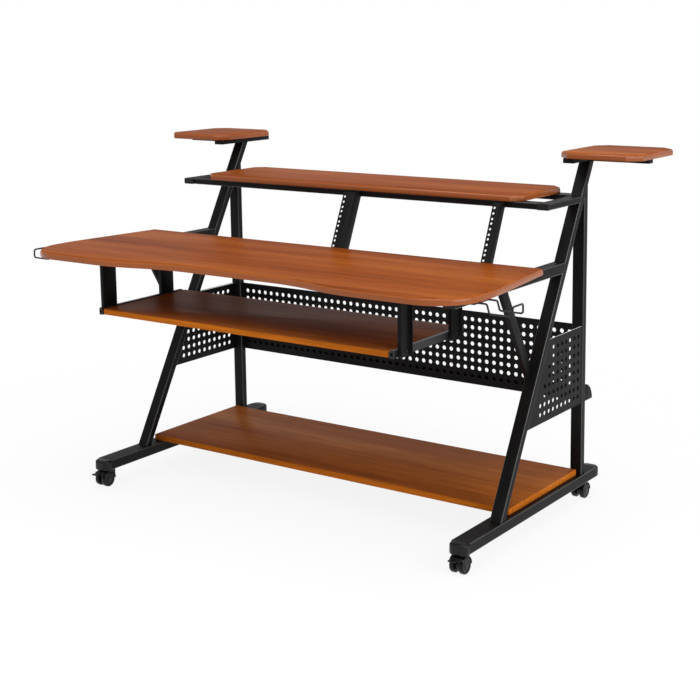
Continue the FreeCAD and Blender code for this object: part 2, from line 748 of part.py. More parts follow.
# Headphone hooks: one bent wire each, let into a block under the desktop's edge
for side, sign in SIDES.items():
    wire_radius = value("hook_wire") / 2
    high = value(f"{DESK_UNDER} - hook_block_height / 2")
    low = high - value("hook_drop")
    stations = [(value("hook_block_inner + hook_block / 2"), high), (value("hook_shoulder"), high),
                (value("hook_heel"), low), (value("hook_tip"), low), (value("hook_tip"), high)]
    near_y = value("hook_middle - hook_gauge / 2")
    far_y = value("hook_middle + hook_gauge / 2")
    route = [FreeCAD.Vector(sign * x, near_y, z) for x, z in stations]
    route += [FreeCAD.Vector(sign * x, far_y, z) for x, z in reversed(stations)]
    path = bent_path(route, value("hook_bend"))
    section = Part.Wire(Part.makeCircle(wire_radius, route[0], FreeCAD.Vector(sign, 0, 0)))
    wire = path.makePipeShell([section], True, False, MITRED)
    x_low, x_high = (value(text) for text in sides(side, "hook_block_inner", "hook_block_inner + hook_block"))
    width = value("hook_gauge + 3 * hook_wire")
    corner = FreeCAD.Vector(x_low, value("hook_middle") - width / 2,
                            value(f"{DESK_UNDER} - hook_block_height"))
    base = Part.makeBox(x_high - x_low, width, value("hook_block_height"), corner)
    sheet_feature(f"{side}_headphone_hook", base.fuse(wire).removeSplitter())

# Casters: a stem in the foot, a hooded body that swivels on it, and a pair of wheels on one axle
AXLE_HEIGHT = "wheel_radius"
HOOD_RADIUS = "(wheel_radius + hood_gap + hood_wall)"
HOOD_TOP = f"(wheel_radius + {HOOD_RADIUS})"
HOOD_WIDTH = "(web_width + 2 * web_gap + 2 * wheel_width)"
STEM_LOW = "(foot_bottom - stem_flange_height - stem_into_boss)"
for end in ("front", "rear"):
    for side, sign in SIDES.items():
        name = f"{end}_{side}_caster"
        middle = f"({sign} * {FOOT_MIDDLE})"
        swivel = f"caster_{end}"
        axle_y = f"({swivel} - caster_trail)"

        stem = new_body(f"{name}_stem")
        profile = new_sketch(stem, "Y", "0")
        add_corners(profile, [
            ("0", STEM_LOW), ("stem_radius", STEM_LOW), ("stem_radius", "foot_bottom - stem_flange_height"),
            ("stem_flange", "foot_bottom - stem_flange_height"), ("stem_flange", "foot_bottom"),
            ("stem_thread", "foot_bottom"), ("stem_thread", "foot_bottom + stem_into_foot"),
            ("0", "foot_bottom + stem_into_foot")])
        turned = stem.newObject("PartDesign::Revolution", f"{name}_stem_turned")
        turned.Profile = profile
        turned.ReferenceAxis = (profile, ["V_Axis"])
        turned.Angle = 360
        place(stem, middle, swivel, "0")
        keep(stem, f"{name}_stem")

        hood = rod(f"{name}_hood_outer", f"{middle} - {HOOD_WIDTH} / 2", axle_y, AXLE_HEIGHT,
                   HOOD_RADIUS, HOOD_WIDTH, ALONG_X, "hood_angle")
        hood_shapes = [hood]
        if end == "front":
            ear_place = "(lever_width / 2 + web_gap)"
            for ear_side, ear_x in (("inner", f"{middle} - {ear_place} - ear_width"),
                                    ("outer", f"{middle} + {ear_place}")):
                hood_shapes.append(block(
                    f"{name}_{ear_side}_ear", ear_x, f"{axle_y} - lever_reach - ear_size / 2",
                    f"{AXLE_HEIGHT} + lever_reach - ear_size", "ear_width",
                    "1.5 * ear_size", "1.4 * ear_size"))
        hood_inner = rod(f"{name}_hood_inner", f"{middle} - {HOOD_WIDTH} / 2 - {PAST}", axle_y, AXLE_HEIGHT,
                         "wheel_radius + hood_gap", f"{HOOD_WIDTH} + {2 * PAST}", ALONG_X)
        hood_joined = fuse(f"{name}_hood_joined", hood_shapes) if len(hood_shapes) > 1 else hood
        shell = cut(f"{name}_shell", hood_joined, hood_inner)
        web_low = f"{middle} - web_width / 2"
        web = rod(f"{name}_web", web_low, axle_y, AXLE_HEIGHT, "web_radius", "web_width", ALONG_X)
        link = block(f"{name}_link", web_low, axle_y, AXLE_HEIGHT, "web_width", "caster_trail",
                     f"{HOOD_TOP} - wheel_radius - hood_wall")
        boss = block(f"{name}_boss", web_low, f"{swivel} - boss_depth / 2", f"{STEM_LOW} - 2 * sheet_wall",
                     "web_width", "boss_depth", f"{HOOD_TOP} - {STEM_LOW} + 2 * sheet_wall")
        whole = fuse(f"{name}_whole", [shell, web, link, boss])
        bores = [rod(f"{name}_axle_bore", f"{web_low} - {PAST}", axle_y, AXLE_HEIGHT,
                     "axle_radius + running_gap", f"web_width + {2 * PAST}", ALONG_X),
                 rod(f"{name}_stem_bore", middle, swivel, f"{STEM_LOW} - running_gap",
                     "stem_radius + running_gap", f"{HOOD_TOP} - {STEM_LOW} + {PAST}")]
        if end == "front":
            bores.append(rod(f"{name}_lever_bore", f"{middle} - lever_width", f"{axle_y} - lever_reach",
                             f"{AXLE_HEIGHT} + lever_reach", "lever_pin + running_gap",
                             "2 * lever_width", ALONG_X))
        keep(cut(f"{name}_body", whole, fuse(f"{name}_bores", bores)), f"{name}_body")

        wheels = []
        for wheel_side, wheel_sign in (("inner", -1), ("outer", 1)):
            wheel = new_body(f"{name}_{wheel_side}_wheel")
            inner_face = "(web_width / 2 + web_gap)"
            outer_face = f"({inner_face} + wheel_width)"
            tyre = new_sketch(wheel, "Y", "0")
            add_corners(tyre, [(f"{wheel_sign} * {x}", radius) for x, radius in (
                (inner_face, "axle_radius"), (inner_face, "wheel_radius"),
                (f"({outer_face} - wheel_chamfer)", "wheel_radius"),
                (outer_face, "wheel_radius - wheel_chamfer"), (outer_face, "axle_radius"))])
            spun = wheel.newObject("PartDesign::Revolution", f"{name}_{wheel_side}_spun")
            spun.Profile = tyre
            spun.ReferenceAxis = (tyre, ["H_Axis"])
            spun.Angle = 360
            place(wheel, middle, axle_y, AXLE_HEIGHT)
            wheels.append(wheel)
        group(f"{name}_wheels", wheels)
        keep(rod(f"{name}_axle", f"{middle} - {HOOD_WIDTH} / 2", axle_y, AXLE_HEIGHT,
                 "axle_radius", HOOD_WIDTH, ALONG_X), f"{name}_axle")

        if end == "front":
            pivot_y = f"({axle_y} - lever_reach)"
            pivot_z = f"({AXLE_HEIGHT} + lever_reach)"
            hub = rod(f"{name}_lever_hub", f"{middle} - lever_width / 2", pivot_y, pivot_z,
                      "lever_hub", "lever_width", ALONG_X)
            pin_length = "(lever_width + 2 * web_gap + 2 * ear_width)"
            pin = rod(f"{name}_lever_pin", f"{middle} - {pin_length} / 2", pivot_y, pivot_z,
                      "lever_pin", pin_length, ALONG_X)
            pedal = block(f"{name}_pedal", f"{middle} - lever_width / 2", f"{pivot_y} - lever_length",
                          f"{pivot_z} - lever_hub / 2", "lever_width", "lever_length", "lever_sheet")
            keep(fuse(f"{name}_brake_lever", [hub, pin, pedal]), f"{name}_brake_lever")

doc.recompute()
for item in doc.Objects:
    if "Invalid" in item.State or "Error" in item.State:
        raise ValueError(f"{item.Name} failed: {item.State}")
for item in sub_parts:
    if item.Shape.isNull() or not item.Shape.isValid() or not item.Shape.Solids:
        raise ValueError(f"{item.Label} has no valid solid")

os.makedirs("parts", exist_ok=True)
for item in sub_parts:
    item.Shape.exportStep(f"parts/{item.Label}.step")
print(len(sub_parts), "sub-parts,", sum(len(item.Shape.Solids) for item in sub_parts), "solids")
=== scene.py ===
import math

import bmesh
import bpy
from mathutils import Matrix, Vector


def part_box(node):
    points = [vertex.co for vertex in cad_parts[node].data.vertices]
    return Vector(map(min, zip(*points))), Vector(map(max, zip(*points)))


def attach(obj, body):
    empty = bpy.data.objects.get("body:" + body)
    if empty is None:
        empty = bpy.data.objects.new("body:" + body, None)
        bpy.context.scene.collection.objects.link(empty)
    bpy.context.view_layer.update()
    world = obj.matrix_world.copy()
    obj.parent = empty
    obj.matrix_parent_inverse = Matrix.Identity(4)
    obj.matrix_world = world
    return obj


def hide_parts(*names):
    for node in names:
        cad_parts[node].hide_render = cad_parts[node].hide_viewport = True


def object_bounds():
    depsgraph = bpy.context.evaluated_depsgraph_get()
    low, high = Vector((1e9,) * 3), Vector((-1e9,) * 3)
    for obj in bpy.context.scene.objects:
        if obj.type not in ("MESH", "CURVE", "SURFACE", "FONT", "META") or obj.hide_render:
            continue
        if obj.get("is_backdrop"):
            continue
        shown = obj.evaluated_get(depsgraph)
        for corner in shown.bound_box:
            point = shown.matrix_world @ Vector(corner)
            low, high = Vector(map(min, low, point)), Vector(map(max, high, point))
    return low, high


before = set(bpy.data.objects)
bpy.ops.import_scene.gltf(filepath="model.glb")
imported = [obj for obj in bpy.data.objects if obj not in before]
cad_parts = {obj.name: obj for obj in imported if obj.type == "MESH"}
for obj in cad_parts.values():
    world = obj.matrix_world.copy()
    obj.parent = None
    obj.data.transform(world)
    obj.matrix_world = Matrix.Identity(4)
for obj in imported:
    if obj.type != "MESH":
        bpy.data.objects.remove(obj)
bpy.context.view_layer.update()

# Tube frame: welded rectangular steel tubes, the bent rack rails, the tray's hangers and the speaker
# brackets. All are powder coated in one near-black satin with a faint orange peel. Along the tubes'
# rolled corners the coat is glossier, and its lighter base colour there is a painted highlight.


def shader_group(name, inputs, outputs):
    """An empty shader node group of plain values; inputs give name and default, outputs the name."""
    tree = bpy.data.node_groups.new(name, "ShaderNodeTree")
    for label, default in inputs:
        socket = tree.interface.new_socket(label, in_out="INPUT", socket_type="NodeSocketFloat")
        socket.default_value = default
    for label in outputs:
        tree.interface.new_socket(label, in_out="OUTPUT", socket_type="NodeSocketFloat")
    return tree, tree.nodes.new("NodeGroupInput"), tree.nodes.new("NodeGroupOutput")


def noise_of(tree, scale, detail, vector=None):
    """A noise of a linked scale on object coordinates, or on another vector output."""
    noise = tree.nodes.new("ShaderNodeTexNoise")
    noise.inputs["Detail"].default_value = detail
    if vector is None:
        vector = tree.nodes.new("ShaderNodeTexCoord").outputs["Object"]
    tree.links.new(vector, noise.inputs["Vector"])
    tree.links.new(scale, noise.inputs["Scale"])
    return noise.outputs["Fac"]


skin_tree, skin_in, skin_out = shader_group(
    "coat_skin", [("Patch Scale", 9.0), ("Peel Scale", 900.0)], ["Patches", "Peel"])
for mask, scale, detail in (("Patches", "Patch Scale", 4.0), ("Peel", "Peel Scale", 2.0)):
    skin_tree.links.new(noise_of(skin_tree, skin_in.outputs[scale], detail), skin_out.inputs[mask])


def new_finish(name, shine):
    """A material, its node tree and its shader."""
    material = bpy.data.materials.new(name)
    material.use_nodes = True
    tree = material.node_tree
    shader = tree.nodes["Principled BSDF"]
    shader.inputs["Specular IOR Level"].default_value = shine
    return material, tree, shader


def placed_group(tree, group):
    """A node group set into a material's tree."""
    node = tree.nodes.new("ShaderNodeGroup")
    node.node_tree = group
    return node


def ranged(tree, source, to_low, to_high, from_low=0.0, from_high=1.0):
    """A node that carries a value from one range to another."""
    node = tree.nodes.new("ShaderNodeMapRange")
    for label, setting in (("From Min", from_low), ("From Max", from_high),
                           ("To Min", to_low), ("To Max", to_high)):
        node.inputs[label].default_value = setting
    tree.links.new(source, node.inputs["Value"])
    return node


def dimpled(tree, shader, height, strength, depth):
    """Bump the shader's normal by a height."""
    bump = tree.nodes.new("ShaderNodeBump")
    bump.inputs["Strength"].default_value = strength
    bump.inputs["Distance"].default_value = depth
    tree.links.new(height, bump.inputs["Height"])
    tree.links.new(bump.outputs["Normal"], shader.inputs["Normal"])


PATCH_SPAN = (0.3, 0.7)
PEEL_STRENGTH = 0.35


def coated(name, dark, light, rough, peel_scale, peel_depth, shine=0.3):
    """A coat or moulding whose tone drifts in patches over a finely dimpled skin."""
    material, tree, shader = new_finish(name, shine)
    skin = placed_group(tree, skin_tree)
    skin.inputs["Peel Scale"].default_value = peel_scale
    tone = tree.nodes.new("ShaderNodeValToRGB")
    for element, place, colour in zip(tone.color_ramp.elements, PATCH_SPAN, (dark, light)):
        element.position = place
        element.color = (*colour, 1.0)
    tree.links.new(skin.outputs["Patches"], tone.inputs["Fac"])
    tree.links.new(tone.outputs["Color"], shader.inputs["Base Color"])
    gloss = ranged(tree, skin.outputs["Peel"], *rough)
    tree.links.new(gloss.outputs["Result"], shader.inputs["Roughness"])
    dimpled(tree, shader, skin.outputs["Peel"], PEEL_STRENGTH, peel_depth)
    return material


powder_coat = coated("black_powder_coat", dark=(0.0040, 0.0036, 0.0035), light=(0.0078, 0.0071, 0.0069),
                     rough=(0.40, 0.54), peel_scale=700.0, peel_depth=0.00012, shine=0.11)
# The rolled corners' coat: its lighter base colour is a painted highlight; its lower roughness and higher shine
# are the coat's gloss.
coat_highlight = coated("powder_coat_painted_highlight", dark=(0.010, 0.0096, 0.0094), light=(0.030, 0.029, 0.0285),
                   rough=(0.20, 0.30), peel_scale=700.0, peel_depth=0.00006, shine=0.6)
WELD = 1e-6
FLAT = math.radians(0.5)
SMOOTH = math.radians(35)


def flats_of(node):
    """A working copy of a CAD solid, its triangles merged into flats."""
    shape = bmesh.new()
    shape.from_mesh(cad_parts[node].data)
    bmesh.ops.remove_doubles(shape, verts=shape.verts, dist=WELD)
    bmesh.ops.dissolve_limit(shape, angle_limit=FLAT, verts=shape.verts, edges=shape.edges)
    return shape


def round_off(shape, edges, radius, steps):
    """Turn the given edges of a working shape to a radius."""
    bmesh.ops.bevel(shape, geom=edges, offset=radius, offset_type="OFFSET", segments=steps,
                    profile=0.5, affect="EDGES", clamp_overlap=True)


def shaded(mesh):
    """Smooth shading, but for the corners."""
    mesh.shade_smooth()
    mesh.set_sharp_from_angle(angle=SMOOTH)


def piece_of(shape, name, *materials):
    """A finished object at the origin from a working shape."""
    mesh = bpy.data.meshes.new(name)
    shape.to_mesh(mesh)
    shape.free()
    shaded(mesh)
    for material in materials:
        mesh.materials.append(material)
    piece = bpy.data.objects.new(name, mesh)
    bpy.context.scene.collection.objects.link(piece)
    return piece


def stand_in(piece, node, body):
    """The piece takes the CAD node's place on its body."""
    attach(piece, body)
    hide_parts(node)


CORNER_STRIP = 0.0015
tubes = ["front_cross_tube", "rear_cross_tube"]
for side in ("left", "right"):
    for part in ("foot_tube", "slanted_leg", "rear_leg", "desk_arm", "shelf_arm"):
        tubes.append(f"{side}_{part}")
for node in tubes:
    shape = flats_of(node)
    longest = max(edge.calc_length() for edge in shape.edges)
    for face in shape.faces:
        runs_along = max(edge.calc_length() for edge in face.edges) > longest / 2
        # A rolled corner's strips take the second finish, whose lighter base colour is a painted highlight.
        rolled_corner = runs_along and face.calc_area() / longest < CORNER_STRIP
        face.material_index = 1 if rolled_corner else 0
    piece = piece_of(shape, f"{node}_rolled", powder_coat, coat_highlight)
    stand_in(piece, node, "frame")

SHARP = math.radians(40)
EASE_STEPS = 2


def eased(node, width, *materials):
    """A CAD solid with all its sharp edges eased."""
    shape = flats_of(node)
    sharp_edges = [edge for edge in shape.edges if edge.calc_face_angle(0.0) > SHARP]
    round_off(shape, sharp_edges, width, EASE_STEPS)
    return piece_of(shape, f"{node}_eased", *materials)


def dress(node, material):
    """Give a CAD piece its finish."""
    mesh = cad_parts[node].data
    mesh.materials.clear()
    mesh.materials.append(material)


EASED_SHEET = 0.0005
bent_steel = ["centre_rack_rail", "right_rack_rail"]
for side in ("left", "right"):
    bent_steel += [f"{side}_arm_brace", f"{side}_speaker_bracket",
                   f"{side}_front_tray_hanger", f"{side}_rear_tray_hanger"]
for node in bent_steel:
    stand_in(eased(node, EASED_SHEET, powder_coat), node, "frame")

# Plastic caps: moulded black nylon ends pushed into the open tubes, with soft corners and a dull,
# finely textured skin. The feet's caps are domed; the arms' plugs lie flush.
moulded_black = coated("moulded_black", dark=(0.0042, 0.0042, 0.0044), light=(0.0080, 0.0080, 0.0083),
                       rough=(0.28, 0.38), peel_scale=1500.0, peel_depth=0.00008, shine=0.25)
CAP_CORNER = 0.019
CAP_ROUND = 0.008
CAP_FOOT_ROUND = 0.003
CAP_STEPS = 5
ARC_STEPS = 14
SLACK = 1e-5
Y_AXIS, Z_AXIS = 1, 2


def rounded(points, radii, steps):
    """A route whose corners are turned on arcs of the given radii."""
    route = [points[0]]
    for before, corner, after, radius in zip(points, points[1:], points[2:], radii):
        first_way = (before - corner).normalized()
        last_way = (after - corner).normalized()
        half = first_way.angle(last_way) / 2
        centre = corner + (first_way + last_way).normalized() * (radius / math.sin(half))
        start = corner + first_way * (radius / math.tan(half)) - centre
        end = corner + last_way * (radius / math.tan(half)) - centre
        turn = start.angle(end)
        axis = start.cross(end).normalized()
        route += [centre + Matrix.Rotation(turn * step / steps, 3, axis) @ start
                  for step in range(steps + 1)]
    return route + [points[-1]]


def plank(outline, thickness):
    """A working shape: a flat outline raised straight up."""
    shape = bmesh.new()
    under = shape.faces.new([shape.verts.new(point) for point in outline])
    upper = bmesh.ops.extrude_face_region(shape, geom=[under])["geom"]
    bmesh.ops.translate(shape, vec=(0, 0, thickness),
                        verts=[item for item in upper if isinstance(item, bmesh.types.BMVert)])
    bmesh.ops.recalc_face_normals(shape, faces=shape.faces)
    return shape


def lies_at(edge, axis, level):
    """Whether both ends of an edge lie at a level along an axis."""
    return all(abs(vertex.co[axis] - level) < SLACK for vertex in edge.verts)


for node in ("front_foot_caps", "rear_foot_caps"):
    low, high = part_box(node)
    nose, tube_end = (low[1], high[1]) if node == "front_foot_caps" else (high[1], low[1])
    caps = bmesh.new()
    for side in ("left", "right"):
        tube_low, tube_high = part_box(f"{side}_foot_tube")
        corners = ((tube_low[0], tube_end), (tube_low[0], nose), (tube_high[0], nose), (tube_high[0], tube_end))
        outline = [Vector((x, y, low[2])) for x, y in corners]
        shape = plank(rounded(outline, (CAP_CORNER, CAP_CORNER), ARC_STEPS), high[2] - low[2])
        for level, radius in ((high[2], CAP_ROUND), (low[2], CAP_FOOT_ROUND)):
            rim = [edge for edge in shape.edges
                   if lies_at(edge, Z_AXIS, level) and not lies_at(edge, Y_AXIS, tube_end)]
            round_off(shape, rim, radius, CAP_STEPS)
        cap = bpy.data.meshes.new("one_cap")
        shape.to_mesh(cap)
        shape.free()
        caps.from_mesh(cap)
        bpy.data.meshes.remove(cap)
    stand_in(piece_of(caps, f"{node}_moulded", moulded_black), node, "frame")
dress("arm_end_caps", moulded_black)

# Boards: particle board faced with a cherry-figured laminate, screwed down on the tubes. It wraps over
# the rounded edges of the upper and speaker shelves and the desktop. The square edges of the lower
# shelf and the tray are sealed with an orange edge band; their laminate is a lighter copy, painted light
# standing in for brighter light on them.
grain_tree, grain_in, grain_out = shader_group(
    "cherry_figure", [("Figure Width", 9.0), ("Streak Width", 100.0), ("Pore Width", 260.0)],
    ["Figure", "Streaks", "Pores"])


def stretched(tree, along):
    """Object coordinates drawn out along X, as the grain is."""
    mapping = tree.nodes.new("ShaderNodeMapping")
    mapping.inputs["Scale"].default_value = (along, 1.0, 1.0)
    tree.links.new(tree.nodes.new("ShaderNodeTexCoord").outputs["Object"], mapping.inputs["Vector"])
    return mapping.outputs["Vector"]


for mask, width, detail, along in (("Figure", "Figure Width", 5.0, 0.09),
                                   ("Streaks", "Streak Width", 3.0, 0.03),
                                   ("Pores", "Pore Width", 3.0, 0.035)):
    grain_tree.links.new(noise_of(grain_tree, grain_in.outputs[width], detail, stretched(grain_tree, along)),
                         grain_out.inputs[mask])

DEEP_STOP, MID_STOP, BRIGHT_STOP = 0.30, 0.50, 0.72
PORE_SPAN = (0.35, 0.55)
STREAK_SPAN = (0.34, 0.62)
GRAIN_DEPTH = 0.20
STREAK_LIFT = 0.08
GLOSS_LOSS, GLOSS_GAIN = 0.08, 0.06
PORE_STRENGTH = 0.12
PORE_DEPTH = 0.0001


def cherry(name, deep, mid, bright, roughness, figure_width, shine=0.02, figured=1.0):
    """Cherry laminate or edge band: three tones of one figure, with dark streaks and fine pores."""
    material, tree, shader = new_finish(name, shine)
    grain = placed_group(tree, grain_tree)
    grain.inputs["Figure Width"].default_value = figure_width
    ramp = tree.nodes.new("ShaderNodeValToRGB")
    ramp.color_ramp.elements[0].position = DEEP_STOP
    ramp.color_ramp.elements[0].color = (*deep, 1.0)
    ramp.color_ramp.elements[1].position = BRIGHT_STOP
    ramp.color_ramp.elements[1].color = (*bright, 1.0)
    ramp.color_ramp.elements.new(MID_STOP).color = (*mid, 1.0)
    tree.links.new(grain.outputs["Figure"], ramp.inputs["Fac"])
    pores = ranged(tree, grain.outputs["Pores"], 1.0 - GRAIN_DEPTH * figured, 1.0, *PORE_SPAN)
    streaks = ranged(tree, grain.outputs["Streaks"], 1.0 - GRAIN_DEPTH * figured,
                     1.0 + STREAK_LIFT * figured, *STREAK_SPAN)
    depth = tree.nodes.new("ShaderNodeMath")
    depth.operation = "MULTIPLY"
    tree.links.new(pores.outputs["Result"], depth.inputs[0])
    tree.links.new(streaks.outputs["Result"], depth.inputs[1])
    darkened = tree.nodes.new("ShaderNodeVectorMath")
    darkened.operation = "SCALE"
    tree.links.new(ramp.outputs["Color"], darkened.inputs["Vector"])
    tree.links.new(depth.outputs["Value"], darkened.inputs["Scale"])
    tree.links.new(darkened.outputs["Vector"], shader.inputs["Base Color"])
    gloss = ranged(tree, grain.outputs["Figure"], roughness + GLOSS_LOSS, roughness - GLOSS_GAIN)
    tree.links.new(gloss.outputs["Result"], shader.inputs["Roughness"])
    dimpled(tree, shader, grain.outputs["Pores"], PORE_STRENGTH, PORE_DEPTH)
    return material


laminate = cherry("cherry_laminate", deep=(0.167, 0.0335, 0.0041), mid=(0.257, 0.057, 0.0070),
                  bright=(0.339, 0.089, 0.0130), roughness=0.42, figure_width=9.0)
# The same cherry laminate painted lighter for the lower shelf and the tray: painted light.
laminate_painted_lighter = cherry("cherry_laminate_painted_lighter", deep=(0.212, 0.052, 0.0085), mid=(0.322, 0.088, 0.0145),
                          bright=(0.415, 0.133, 0.0260), roughness=0.42, figure_width=9.0)
wrapped_edge = cherry("cherry_wrapped_edge", deep=(0.25, 0.060, 0.010), mid=(0.29, 0.072, 0.012),
                      bright=(0.33, 0.086, 0.015), roughness=0.26, figure_width=6.0, shine=0.35, figured=0.25)
edge_band = cherry("cherry_edge_band", deep=(0.40, 0.100, 0.007), mid=(0.49, 0.132, 0.010),
                   bright=(0.57, 0.165, 0.015), roughness=0.42, figure_width=5.0)
UPWARD = 0.7


def faced(piece):
    """The first finish on a board's faces, and the second round its edge."""
    for polygon in piece.data.polygons:
        polygon.material_index = 0 if abs(polygon.normal.z) > UPWARD else 1


OVER_STEPS = 6
UNDER_STEPS = 2
UNDER_ROUND = 0.0015


def rounded_board(shape, radius):
    """Round over a board's upper arris, and ease its lower one."""
    heights = [vertex.co.z for vertex in shape.verts]
    for level, turn, steps in ((max(heights), radius, OVER_STEPS), (min(heights), UNDER_ROUND, UNDER_STEPS)):
        rim = [edge for edge in shape.edges
               if edge.calc_face_angle(0.0) > SHARP and lies_at(edge, Z_AXIS, level)]
        round_off(shape, rim, turn, steps)


SHELF_ROUND = 0.008
EASED_BOARD = 0.0012
for node in ("upper_shelf", "left_speaker_shelf", "right_speaker_shelf"):
    shape = flats_of(node)
    rounded_board(shape, SHELF_ROUND)
    piece = piece_of(shape, f"{node}_board", laminate, wrapped_edge)
    faced(piece)
    stand_in(piece, node, "frame")
# The lower shelf and the tray wear the laminate painted lighter, as painted light.
for node, body in (("lower_shelf", "frame"), ("keyboard_tray", "keyboard_tray")):
    piece = eased(node, EASED_BOARD, laminate_painted_lighter, edge_band)
    faced(piece)
    stand_in(piece, node, body)

# Desktop: one laminated board screwed down on the two arms, flared at the sides, with large round front
# corners and a front edge that sweeps in for the player. Its edges are rounded over and wrapped.
REAR_HALF = 0.691
FLARE = -0.316
FLARE_ROUND = 0.300
CORNER_ROUND = 0.125
EAR_INNER = 0.375
RECESS_HALF = 0.215
RECESS = 0.045
SWEEP_ROUND = 0.570
DESK_ROUND = 0.010
low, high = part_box("desktop")
half_plan = ((REAR_HALF, high[1]), (high[0], FLARE), (high[0], low[1]), (EAR_INNER, low[1]),
             (RECESS_HALF, low[1] + RECESS), (0.0, low[1] + RECESS))
half_outline = [Vector((x, y, low[2])) for x, y in half_plan]
right_half = rounded(half_outline, (FLARE_ROUND, CORNER_ROUND, SWEEP_ROUND, SWEEP_ROUND), ARC_STEPS)
left_half = [Vector((-point.x, point.y, point.z)) for point in reversed(right_half[:-1])]
shape = plank(right_half + left_half, high[2] - low[2])
rounded_board(shape, DESK_ROUND)
piece = piece_of(shape, "desktop_board", laminate, wrapped_edge)
faced(piece)
stand_in(piece, "desktop", "frame")

# Perforated sheets: 2 mm steel punched with rows of round holes, powder coated like the tubes and set
# between the legs. The side sheets are cut to the leg's slant, with their top edge folded inward.
HOLE_PITCH = 0.025
HOLE_RADIUS = 0.0064
HOLE_SIDES = 20
SHEET = 0.002


def socket_of(tree, name):
    """The identifier of a named input of a Geometry Nodes tree."""
    return next(item.identifier for item in tree.interface.items_tree
                if item.item_type == "SOCKET" and item.in_out == "INPUT" and item.name == name)


def node_tree(name, inputs):
    """A Geometry Nodes tree with a geometry in and out and the named inputs."""
    tree = bpy.data.node_groups.new(name, "GeometryNodeTree")
    tree.interface.new_socket("Geometry", in_out="INPUT", socket_type="NodeSocketGeometry")
    for label, kind in inputs:
        tree.interface.new_socket(label, in_out="INPUT", socket_type=kind)
    tree.interface.new_socket("Geometry", in_out="OUTPUT", socket_type="NodeSocketGeometry")
    return tree, tree.nodes.new("NodeGroupInput"), tree.nodes.new("NodeGroupOutput")


punched, punched_in, punched_out = node_tree("punched_sheet", [
    ("Hole Radius", "NodeSocketFloat"), ("Hole Sides", "NodeSocketInt"), ("Sheet", "NodeSocketFloat"),
    ("Finish", "NodeSocketMaterial")])
is_hole = punched.nodes.new("GeometryNodeInputNamedAttribute")
is_hole.data_type = "BOOLEAN"
is_hole.inputs["Name"].default_value = "hole"
apart = punched.nodes.new("GeometryNodeSeparateGeometry")
apart.domain = "POINT"
centres = punched.nodes.new("GeometryNodeMeshToPoints")
circle = punched.nodes.new("GeometryNodeCurvePrimitiveCircle")
spread = punched.nodes.new("GeometryNodeInstanceOnPoints")
rims = punched.nodes.new("GeometryNodeRealizeInstances")
border = punched.nodes.new("GeometryNodeMeshToCurve")
together = punched.nodes.new("GeometryNodeJoinGeometry")
filled = punched.nodes.new("GeometryNodeFillCurve")
raised = punched.nodes.new("GeometryNodeExtrudeMesh")
under = punched.nodes.new("GeometryNodeFlipFaces")
closed = punched.nodes.new("GeometryNodeJoinGeometry")
merged = punched.nodes.new("GeometryNodeMergeByDistance")
all_real = punched.nodes.new("GeometryNodeRealizeInstances")
finish_set = punched.nodes.new("GeometryNodeSetMaterial")
raised.inputs["Individual"].default_value = False
merged.inputs["Distance"].default_value = WELD
for source, target in (
        (punched_in.outputs["Geometry"], apart.inputs["Geometry"]),
        (is_hole.outputs["Attribute"], apart.inputs["Selection"]),
        (apart.outputs["Selection"], centres.inputs["Mesh"]),
        (punched_in.outputs["Hole Radius"], circle.inputs["Radius"]),
        (punched_in.outputs["Hole Sides"], circle.inputs["Resolution"]),
        (centres.outputs["Points"], spread.inputs["Points"]),
        (circle.outputs["Curve"], spread.inputs["Instance"]),
        (spread.outputs["Instances"], rims.inputs["Geometry"]),
        (apart.outputs["Inverted"], border.inputs["Mesh"]),
        (border.outputs["Curve"], together.inputs["Geometry"]),
        (rims.outputs["Geometry"], together.inputs["Geometry"]),
        (together.outputs["Geometry"], filled.inputs["Curve"]),
        (filled.outputs["Mesh"], raised.inputs["Mesh"]),
        (punched_in.outputs["Sheet"], raised.inputs["Offset Scale"]),
        (filled.outputs["Mesh"], under.inputs["Mesh"]),
        (raised.outputs["Mesh"], closed.inputs["Geometry"]),
        (under.outputs["Mesh"], closed.inputs["Geometry"]),
        (closed.outputs["Geometry"], merged.inputs["Geometry"]),
        (merged.outputs["Geometry"], all_real.inputs["Geometry"]),
        (all_real.outputs["Geometry"], finish_set.inputs["Geometry"]),
        (punched_in.outputs["Finish"], finish_set.inputs["Material"]),
        (finish_set.outputs["Geometry"], punched_out.inputs["Geometry"])):
    punched.links.new(source, target)


def settled(draft):
    """A plain mesh object, at the origin, from an object with a modifier or a bevelled curve."""
    evaluated = draft.evaluated_get(bpy.context.evaluated_depsgraph_get())
    mesh = bpy.data.meshes.new_from_object(evaluated)
    bpy.data.objects.remove(draft)
    shaded(mesh)
    piece = bpy.data.objects.new("piece", mesh)
    bpy.context.scene.collection.objects.link(piece)
    return piece


def punched_sheet(corners, holes):
    """A flat sheet in XY, raised along Z, from its outline and its hole centres."""
    mesh = bpy.data.meshes.new("sheet_plan")
    edges = [(index, (index + 1) % len(corners)) for index in range(len(corners))]
    mesh.from_pydata([(x, y, 0.0) for x, y in corners + holes], edges, [])
    marks = mesh.attributes.new("hole", "BOOLEAN", "POINT")
    for index, mark in enumerate(marks.data):
        mark.value = index >= len(corners)
    draft = bpy.data.objects.new("sheet_plan", mesh)
    bpy.context.scene.collection.objects.link(draft)
    punch = draft.modifiers.new("punch", "NODES")
    punch.node_group = punched
    for name, setting in (("Hole Radius", HOLE_RADIUS), ("Hole Sides", HOLE_SIDES), ("Sheet", SHEET),
                          ("Finish", powder_coat)):
        punch[socket_of(punched, name)] = setting
    return settled(draft)


def add_box(piece, low, high):
    """Join a plain block to a piece's mesh."""
    shape = bmesh.new()
    shape.from_mesh(piece.data)
    centre = (Vector(low) + Vector(high)) / 2
    size = Vector(high) - Vector(low)
    bmesh.ops.create_cube(shape, matrix=Matrix.Translation(centre) @ Matrix.Diagonal((*size, 1.0)))
    shape.to_mesh(piece.data)
    shape.free()


